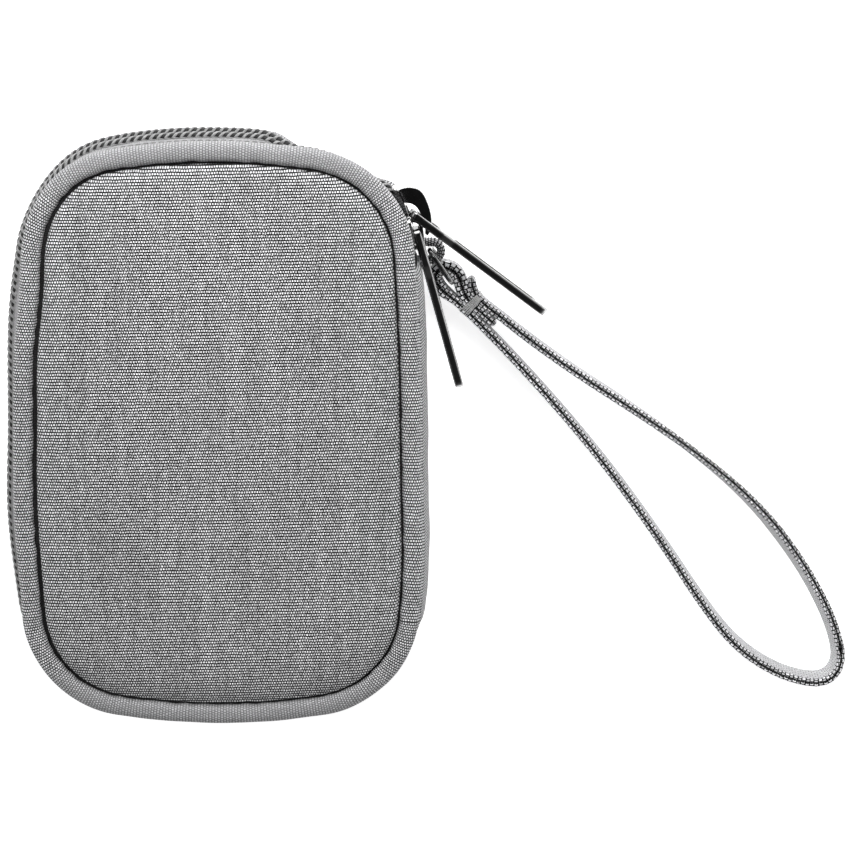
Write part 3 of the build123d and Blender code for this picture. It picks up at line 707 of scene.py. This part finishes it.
# ---------------------------------------------------------------- padded panels
# how a panel's crown rises from the bottom of its groove: margin inside the outline and height below the
# top of its CAD solid, in mm; the first CROWN_EDGE margins are used as they are, with even steps after them
CROWN = [
    (5.20, 4.0), (5.26, 3.6), (5.34, 3.2), (5.48, 2.7), (5.74, 2.1), (6.2, 1.55), (6.9, 1.12), (7.9, 0.82),
    (9.2, 0.60), (11.0, 0.40), (13.5, 0.22), (16.5, 0.06), (21.0, -0.10), (24.0, -0.18),
]
CROWN_EDGE = 8
CROWN_TOP = -0.60
# how far the pad draws back in its groove all round and, on top of that, on the left, and how far its
# bottom end slumps, in mm
GROOVE = 0.10
GROOVE_LEFT = 0.55
SLUMP = 1.3
# half the length of the line down the middle that the rings close on, in mm
SPINE = 24.0
# small puckers beside the front groove: x, y, size and depth in mm
PUCKERS = [(-18.8, 65.9, 1.1, 1.0), (-9.0, 66.7, 1.0, 0.8), (31.5, -58.0, 1.4, 0.5), (-33.5, 56.5, 1.3, 0.5)]


def panel_mesh(name, side):
    """Closed, crowned pad: rings follow the outline inwards to a line down the middle. side is 1 in front
    and -1 at the back."""
    node = "front_panel" if side > 0 else "back_panel"
    low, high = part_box(node)
    top = high.z if side > 0 else low.z
    s = even(0, PERIMETER, 0.75 * MM)[:-1]
    points, normals = rim(s, "front" if side > 0 else "back")
    margins = np.concatenate([[m for m, _ in CROWN[:CROWN_EDGE]], np.arange(8.6, 24.01, 0.8)])
    drops = np.interp(margins, *np.array(CROWN).T)
    rings, heights = [], []
    groove = GROOVE + GROOVE_LEFT * np.clip(-normals[:, 0], 0, 1)
    slump = SLUMP * np.clip(-normals[:, 1], 0, 1)
    for m, drop in zip(margins, drops):
        inset = m + groove * math.exp(-(m - margins[0]) / 1.6)
        rings.append(points - inset[:, None] * MM * normals)
        heights.append(drop + slump * min(1, (m - margins[0]) / 0.8) * max(0, (17 - m) / 11) ** 2)
    last = rings[-1]
    spine = np.stack([np.zeros(len(s)), np.clip(last[:, 1], -SPINE * MM, SPINE * MM)], axis=1)
    for t in np.linspace(0, 1, 22)[1:]:
        rings.append(last * (1 - t) + spine * t)
        heights.append(np.full(len(s), drops[-1] + (CROWN_TOP - drops[-1]) * (1 - (1 - t) ** 2)))
    place = np.stack(rings, axis=1)
    drop = np.stack(heights, axis=1)
    margin = np.concatenate([margins, np.linspace(24, 46, 22)[1:]])
    shoulder = np.exp(-(((margin - 6.2) / 2.6) ** 2))
    seed = 11 if side > 0 else 12
    drop = drop + shoulder[None] * 0.16 * waves(s, 0.006, 0.030, seed)[:, None]
    swell = 0.10 * waves(s, 0.03, 0.16, seed + 4)[:, None]
    swell = swell * np.clip((margin - 6) / 6, 0, 1)[None] * np.clip((44 - margin) / 30, 0, 1)[None]
    drop = drop + swell
    if side > 0:
        for x, y, size, depth in PUCKERS:
            far = np.hypot(place[..., 0] / MM - x, place[..., 1] / MM - y)
            drop = drop + depth * np.exp(-((far / size) ** 2))
    z = top - side * drop * MM
    if side < 0:
        z = np.maximum(z, 0.0)
    grid = np.concatenate([place, z[..., None]], axis=2)
    under = grid[:, :1].copy()
    under[..., :2] -= 0.3 * MM * normals[:, None]
    inner = under.copy()
    inner[..., :2] *= 0.02
    flat = np.concatenate([inner, under], axis=1)
    flat[..., 2] = grid[:, :1, 2]
    grid = np.concatenate([flat, grid], axis=1)
    v = np.linspace(0, 0.05, grid.shape[1])
    return grid_mesh(name, grid, np.append(s, PERIMETER), v, closed_u=True)


for half, side in (("front", 1), ("back", -1)):
    name = f"{half}_panel_pad"
    pad_mesh = panel_mesh(name, side)
    nodes = (f"{half}_panel", f"{half}_foam")
    pad = piece(name, pad_mesh, case_cloth, f"{half}_shell", "case_fabric", *nodes)

# ---------------------------------------------------------------- folded bindings
BINDING_SIDES = 36
# half the width of the band
BAND = 2.4 * MM


def binding_mesh(name, half, seed):
    """Folded cloth band round the panel's edge, a little uneven along its length."""
    low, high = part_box(f"{half}_binding")
    rise = (high.z - low.z) / 2
    loop = rounded_loop(BAND, rise, BINDING_SIDES, 2.7)
    s = even(0, PERIMETER, 0.6 * MM)[:-1]
    out = -BAND + loop[:, 0]
    height = (low.z + high.z) / 2 + loop[:, 1]
    hug = np.zeros(len(out)) if half == "front" else BACK_TUCK * (0.70 + 0.30 * loop[:, 0] / BAND)
    grid = around_rim(s, np.stack([out, height, np.zeros(len(out)), hug], axis=1), half)
    normals = rim_at(s)[1]
    inner = np.clip(-loop[:, 0] / BAND, 0, 1)
    outer = np.clip(loop[:, 0] / BAND, 0, 1)
    bulge = 0.10 * MM * waves(s, 0.012, 0.08, seed)[:, None] * outer[None]
    bulge = bulge - 0.16 * MM * waves(s, 0.004, 0.016, seed + 1)[:, None] * inner[None]
    grid[..., :2] += bulge[..., None] * normals[:, None]
    crest = np.clip(loop[:, 1] / rise, -1, 1)
    grid[..., 2] += 0.09 * MM * waves(s, 0.006, 0.05, seed + 2)[:, None] * crest[None]
    around = path_lengths(np.vstack([loop, loop[:1]]))
    return grid_mesh(name, grid, np.append(s, PERIMETER), around, closed_u=True, closed_v=True)


for half, seed in (("front", 21), ("back", 31)):
    name = f"{half}_binding_band"
    band_mesh = binding_mesh(name, half, seed)
    piece(name, band_mesh, binding_cloth, f"{half}_shell", "binding_fabric", f"{half}_binding")

# ---------------------------------------------------------------- zipper: tapes, coils and stitches
_, coil_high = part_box("front_coil")
back_coil_low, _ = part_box("back_coil")
MID_Z = (coil_high.z + back_coil_low.z) / 2


def track_length(angle):
    """Length along the outline at an angle about the top right corner of the track, in degrees."""
    turn = math.radians(angle)
    return ARC_START[1] + (turn - ARC_FIRST[1]) * CORNER_RADIUS


# where the zipper ends and opens, as lengths along the outline
HINGE_BOTTOM = length_at(half_width, -0.046)
CHAIN_END = track_length(-9.0)
CHAIN_OPEN = track_length(33.7)
AROUND = PERIMETER + HINGE_BOTTOM if HINGE_BOTTOM < CHAIN_END else HINGE_BOTTOM


def tape_mesh(name, node, side, first):
    """Woven tape from the binding in to the chain, with a thickness and a soft bend by the coil."""
    low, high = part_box(node)
    foot = high.z if side > 0 else low.z
    profile = [
        (-1.45, foot, 0.0),
        (-1.35, foot - side * 2.5 * MM, 0.3),
        (-1.30, MID_Z + side * 6.2 * MM, 0.85),
        (-1.28, MID_Z + side * 4.4 * MM, 1.0),
        (-1.25, MID_Z + side * 2.6 * MM, 1.0),
        (-1.30, MID_Z + side * 0.7 * MM, 1.0),
    ]
    least = 1.0 if side < 0 else 0.0
    outer = [(o * MM, z, share, max(share, least)) for o, z, share in profile]
    inner = [(o - 0.5 * MM, z, share, hug) for o, z, share, hug in reversed(outer)]
    s = even(first, AROUND, 1.0 * MM)
    grid = around_rim(s, outer + inner, "back")
    normals = rim_at(s)[1]
    grid[..., :2] += 0.12 * MM * waves(s, 0.010, 0.06, 41 + side)[:, None, None] * normals[:, None]
    around = path_lengths(np.vstack([grid[0], grid[0][:1]]))
    return grid_mesh(name, grid, s, around, closed_v=True, caps=True)


# spacing, length and thread radius of the tape's stitches, and their place from the rim
STITCH_PITCH = 1.9 * MM
STITCH_LENGTH = 1.35 * MM
STITCH_RADIUS = 0.16 * MM
STITCH_OUT = -1.16 * MM


def stitch_row(name, first, z, share):
    """Row of short thread stitches that follow the outline."""
    stitches = []
    for s in np.arange(first, AROUND - STITCH_PITCH, STITCH_PITCH):
        at = np.linspace(s, s + STITCH_LENGTH, 5)
        lift = np.sin(np.linspace(0, math.pi, 5)) * 0.12 * MM
        points, normals = rim(at, "back")
        place = points + (STITCH_OUT + lift - share * tuck(at))[:, None] * normals + share * TRACK_SHIFT
        heights = np.full(len(at), z)
        stitches.append(tube("stitch", np.column_stack([place, heights]), STITCH_RADIUS, 6))
    return join(name, stitches)


COIL_PITCH = 1.9 * MM
STRANDS = 2
# middle of each coil half from the outline, and half its width, in mm
COIL_PLACE = {1: (-0.58, 0.74), -1: (-0.02, 0.98)}


def coil_centre(side):
    """Middle height of one half of the chain, and half its height."""
    return MID_Z + side * 1.78 * MM, 1.15 * MM


def coil_mesh(name, side, first, last):
    """Half of the zipper chain: flattened nylon strands wound side by side along the edge of its tape."""
    middle, half = coil_centre(side)
    place, wide = COIL_PLACE[side]
    lead = COIL_PITCH * STRANDS
    t = np.linspace(0, (last - first) / lead, round((last - first) / lead * 28) + 1)
    s = first + t * lead
    points, normals = rim(s, "back")
    wires = []
    for strand in range(STRANDS):
        turn = 2 * math.pi * (t + strand / STRANDS)
        c, z = np.cos(turn), np.sin(turn)
        reach = (np.abs(c) ** 3.2 + np.abs(z) ** 3.2) ** (-1 / 3.2)
        out = (place + wide * 0.86 * reach * c) * MM - tuck(s)
        path = points + out[:, None] * normals + TRACK_SHIFT
        line = np.column_stack([path, middle + half * 0.9 * reach * z])
        up = np.column_stack([c[:, None] * normals, z])
        wires.append(tube("strand", line, 0.33 * MM, 8, squash=0.50, up=up))
    return join(name, wires)


def gap_shade_mesh(name, side, first, last):
    """Near-black core inside the coil: painted shade that shows in the gaps between the strands."""
    middle, half = coil_centre(side)
    place, wide = COIL_PLACE[side]
    loop = rounded_loop(wide * 0.8 * MM, half * 0.80, 16, 3.0)
    profile = [(place * MM + x, middle + z, 1.0, 1.0) for x, z in loop]
    s = even(first, last, 0.8 * MM)
    grid = around_rim(s, profile, "back")
    around = path_lengths(np.vstack([loop, loop[:1]]))
    return grid_mesh(name, grid, s, around, closed_v=True, caps=True)


for side, half, first in ((1, "front", CHAIN_OPEN), (-1, "back", CHAIN_END)):
    body = f"{half}_shell"
    name = f"{half}_gusset_tape"
    mesh = tape_mesh(name, f"{half}_zip_tape", side, first)
    piece(name, mesh, tape_cloth, body, "zipper_tape", f"{half}_zip_tape")
    name = f"{half}_zipper_coil"
    mesh = coil_mesh(name, side, first, AROUND)
    piece(name, mesh, coil_nylon, body, "zipper_coil", f"{half}_coil")
    # near-black core inside the coil, painted shade seen between its strands
    name = f"{half}_coil_shade_core"
    mesh = gap_shade_mesh(name, side, first, AROUND)
    piece(name, mesh, coil_gap_shade, body, "zipper_coil")
    for row, height, share in (("inner", 3.75, 1.0), ("outer", 7.6, 0.7)):
        name = f"{half}_tape_stitches_{row}"
        mesh = stitch_row(name, first, MID_Z + side * height * MM, share)
        piece(name, mesh, stitch_thread, body, "zipper_tape")

end_coil = coil_mesh("zipper_chain_end_coil", 1, CHAIN_END, CHAIN_OPEN - 0.7 * MM)
piece("zipper_chain_end_coil", end_coil, coil_nylon, "back_shell", "zipper_coil", "zip_chain_end")
# near-black core inside the end coil, painted shade seen between its strands
end_shade_core = gap_shade_mesh("zipper_chain_end_shade_core", 1, CHAIN_END, CHAIN_OPEN - 0.4 * MM)
piece("zipper_chain_end_shade_core", end_shade_core, coil_gap_shade, "back_shell", "zipper_coil")


# ---------------------------------------------------------------- cloth hinge
def hinge_mesh():
    """Strip of case cloth from one binding to the other, bowed outwards, its ends tucked in."""
    low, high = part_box("hinge_strip_back")[0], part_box("hinge_strip_front")[1]
    first = length_at(half_width, low.y - 0.0018)
    last = length_at(half_width, high.y + 0.0035)
    if first > last:
        first -= PERIMETER
    s = even(first, last, 0.8 * MM)
    z = np.linspace(low.z, high.z, 34)
    rise = np.sin(math.pi * (z - low.z) / (high.z - low.z))
    out = (0.22 + 1.45 * rise**0.8) * MM
    end = smooth_step(np.minimum(s - s[0], s[-1] - s) / 0.002)
    points, normals = rim(s, "back")
    grid = np.zeros((len(s), len(z), 3))
    unevenness = 0.12 * MM * waves(s, 0.012, 0.06, 51)[:, None] * rise[None]
    reach = out[None] * (0.35 + 0.65 * end[:, None]) + unevenness
    grid[..., :2] = points[:, None] + reach[..., None] * normals[:, None]
    grid[..., 2] = z
    return grid_mesh("hinge_cloth", grid, s - s[0], path_lengths(grid[len(s) // 2]))


hinge = bpy.data.objects.new("hinge_cloth", hinge_mesh())
scene.collection.objects.link(hinge)
hinge.data.materials.append(gusset_cloth)
solid = hinge.modifiers.new("thickness", "SOLIDIFY")
solid.thickness = 0.6 * MM
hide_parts("hinge_strip_back", "hinge_strip_front")
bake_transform(hinge)

# ---------------------------------------------------------------- inside of the case
LINING_STEP = 2.0


def lining_mesh(name, node, side):
    """Lining from under the binding in to the middle, softly quilted."""
    low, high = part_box(node)
    s = even(0, PERIMETER, 2.0 * MM)[:-1]
    points, normals = rim(s, node.split("_")[0])
    rings = [points - m * MM * normals for m in np.arange(4.6, 24.7, LINING_STEP)]
    last = rings[-1]
    spine = np.stack([np.zeros(len(s)), np.clip(last[:, 1], -SPINE * MM, SPINE * MM)], axis=1)
    rings += [last * (1 - t) + spine * t for t in np.linspace(0, 1, 13)[1:]]
    place = np.stack(rings, axis=1)
    x, y = place[..., 0] / MM, place[..., 1] / MM
    ripple = np.sin(x / 7.1 + 1.7 * np.sin(y / 16)) * np.sin(y / 9.3 + 1.2 * np.sin(x / 13))
    z = (low.z + high.z) / 2 + side * 0.16 * MM * ripple
    grid = np.concatenate([place, z[..., None]], axis=2)
    v = np.linspace(0, 0.05, grid.shape[1])
    return grid_mesh(name, grid, np.append(s, PERIMETER), v, closed_u=True)


def soft_sheet(name, mesh, material, thickness, body, slot, *nodes):
    """Cloth piece with a real thickness."""
    made = piece(name, mesh, material, body, slot, *nodes)
    solid = made.modifiers.new("thickness", "SOLIDIFY")
    solid.thickness = thickness
    solid.offset = 0.0
    return made


for half, side in (("front", 1), ("back", -1)):
    name = f"{half}_lining_cloth"
    node = f"{half}_lining"
    mesh = lining_mesh(name, node, side)
    made = soft_sheet(name, mesh, lining_cloth, 0.45 * MM, f"{half}_shell", "lining_fabric", node)

# places and radius of a row's arches, and the elastic's thickness, in mm
LOOP_CENTRES = (-23.0, 0.0, 23.0)
LOOP_RADIUS = 9.7
BAND_THICK = 0.95


def loop_line(low, high):
    """Side view of an elastic band: flat where it is sewn down, arched between. Points in mm as (x, z)."""
    base = low.z / MM + BAND_THICK / 2 + 0.02
    centre = high.z / MM - LOOP_RADIUS - BAND_THICK / 2
    x = np.linspace(low.x / MM + 0.1, high.x / MM - 0.1, 900)
    z = np.full(len(x), base)
    for c in LOOP_CENTRES:
        inside = np.abs(x - c) < LOOP_RADIUS
        arch = centre + np.sqrt(np.maximum(LOOP_RADIUS**2 - (x - c) ** 2, 0))
        z = np.where(inside, np.maximum(z, arch), z)
    soft = np.hanning(31)
    z = np.convolve(np.pad(z, 15, mode="edge"), soft / soft.sum(), mode="valid")
    return resampled(np.column_stack([x, np.zeros(len(x)), z]), 0.45)


for row, seed in (("upper", 61), ("lower", 62)):
    node = f"cable_loops_{row}"
    low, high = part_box(node)
    line = loop_line(low, high)
    s = path_lengths(line)
    across = np.linspace(low.y / MM + 0.1, high.y / MM - 0.1, 25)
    arched = np.clip((line[:, 2] - line[:, 2].min()) / 3, 0, 1)
    slack = np.cos((across - across.mean()) / 8 * math.pi / 2) * 0.35 - 0.35
    grid = np.zeros((len(line), len(across), 3))
    grid[..., 0] = line[:, :1]
    grid[..., 1] = across
    grid[..., 2] = line[:, 2:] + arched[:, None] * slack[None]
    mesh = grid_mesh(f"{node}_elastic", grid * MM, s * MM, (across - across[0]) * MM)
    band = soft_sheet(f"{node}_elastic", mesh, elastic_cloth, 0.85 * MM, "back_shell", "elastic", node)
    stitches = []
    for x in (-34.0, -12.1, -10.9, 10.9, 12.1, 34.0):
        for y in np.arange(across[0] + 0.8, across[-1] - 1.5, 2.0):
            dash = np.array([(x, y, 0.0), (x, y + 0.7, 0.10), (x, y + 1.4, 0.0)]) * MM
            dash[:, 2] += low.z + 0.95 * MM
            stitches.append(tube("stitch", dash, 0.15 * MM, 6))
    mesh = join(f"{node}_stitches", stitches)
    sewn = piece(f"{node}_stitches", mesh, stitch_thread, "back_shell", "elastic")

NET_PITCH = 1.15
pocket_low, pocket_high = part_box("mesh_pocket")
hem_low, hem_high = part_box("mesh_pocket_elastic")


def pocket_height(x, y):
    """Height of the net, which hangs from its three sewn sides. All in mm."""
    side = np.clip((pocket_high.x / MM - np.abs(x)) / 9, 0, 1)
    end = np.clip((y - pocket_low.y / MM) / 14, 0, 1)
    rise = np.sin(side * math.pi / 2) ** 0.8 * np.sin(end * math.pi / 2) ** 0.9
    wave = 0.25 * np.sin(x / 5.3) * np.sin(y / 8.1 + 0.6) * rise
    return pocket_high.z / MM - 0.35 - (pocket_high.z - pocket_low.z - 0.7 * MM) / MM * rise + wave


def net_mesh():
    """Diamond mesh: every other point of a grid, joined to its neighbours."""
    columns = math.floor((pocket_high.x - pocket_low.x) / NET_PITCH / MM)
    rows = math.floor((pocket_high.y - pocket_low.y) / NET_PITCH / MM)
    columns -= columns % 2
    verts, faces, index = [], [], {}

    def corner(i, j):
        """Number of a grid point, which is added the first time it is asked for."""
        if (i, j) not in index:
            index[i, j] = len(verts)
            x = pocket_low.x / MM + 0.4 + i * NET_PITCH
            y = pocket_low.y / MM + 0.4 + j * NET_PITCH
            verts.append((x * MM, y * MM, pocket_height(x, y) * MM))
        return index[i, j]

    for i in range(1, columns):
        for j in range(1, rows):
            if (i + j) % 2:
                faces.append([corner(i - 1, j), corner(i, j - 1), corner(i + 1, j), corner(i, j + 1)])
    mesh = bpy.data.meshes.new("mesh_pocket_net")
    mesh.from_pydata(verts, [], faces)
    return mesh


net = piece("mesh_pocket_net", net_mesh(), net_thread, "front_shell", "mesh", "mesh_pocket")
threads = net.modifiers.new("threads", "WIREFRAME")
threads.thickness = 0.40 * MM
threads.use_even_offset = False


def hem_mesh():
    """Gathered elastic hem along the pocket's mouth, curving up to the lining at its two ends."""
    x = np.linspace(hem_low.x / MM + 0.3, hem_high.x / MM - 0.3, 300)
    y = np.linspace(hem_low.y / MM + 0.3, hem_high.y / MM - 0.3, 14)
    folds = np.sin(x * 2.9 + 1.4 * np.sin(x * 0.37))
    gather = 0.14 * folds[:, None] * np.sin(np.linspace(0, math.pi, 14))[None]
    grid = np.zeros((len(x), len(y), 3))
    grid[..., 0] = x[:, None]
    grid[..., 1] = y
    grid[..., 2] = pocket_height(x, 10.0)[:, None] - 0.55 + gather
    return grid_mesh("mesh_pocket_hem", grid * MM, (x - x[0]) * MM, (y - y[0]) * MM)


hem_node = "mesh_pocket_elastic"
hem = soft_sheet("mesh_pocket_hem", hem_mesh(), elastic_cloth, 0.7 * MM, "front_shell", "elastic", hem_node)

# ---------------------------------------------------------------- metal parts
# how much fatter the pulls are made on every side
PLATING = 0.28 * MM
METALS = {
    "slider_a_body": slider_gloss,
    "slider_a_crown": slider_gloss,
    "slider_a_spring": spring_steel,
    "slider_a_pull": pull_gloss,
    "slider_b_body": slider_gloss,
    "slider_b_crown": slider_gloss,
    "slider_b_spring": spring_steel,
    "slider_b_pull": pull_gloss,
    "strap_ring": ring_black,
    "zip_end_stops": stop_metal,
}
for node, material in METALS.items():
    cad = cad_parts[node]
    cad.data.materials.clear()
    cad.data.materials.append(material)
    weld = cad.modifiers.new("weld", "WELD")
    weld.merge_threshold = 0.002 * MM
    if node.endswith("pull"):
        swell = cad.modifiers.new("plating", "DISPLACE")
        swell.strength = PLATING
        swell.mid_level = 0.0
    edges = cad.modifiers.new("edges", "BEVEL")
    edges.width = 0.12 * MM
    edges.segments = 2
    edges.angle_limit = math.radians(40)

# ---------------------------------------------------------------- floor
floor_mesh = bpy.data.meshes.new("floor")
floor_mesh.from_pydata([(-4, -4, 0), (4, -4, 0), (4, 4, 0), (-4, 4, 0)], [], [(0, 1, 2, 3)])
floor = bpy.data.objects.new("floor", floor_mesh)
scene.collection.objects.link(floor)
pale = bpy.data.materials.new("pale_floor")
pale.use_nodes = True
floor_shader = pale.node_tree.nodes["Principled BSDF"]
floor_shader.inputs["Base Color"].default_value = (0.93, 0.93, 0.93, 1)
floor_shader.inputs["Roughness"].default_value = 0.9
floor_shader.inputs["Emission Color"].default_value = (1, 1, 1, 1)
floor_shader.inputs["Emission Strength"].default_value = 0.66
floor_mesh.materials.append(pale)
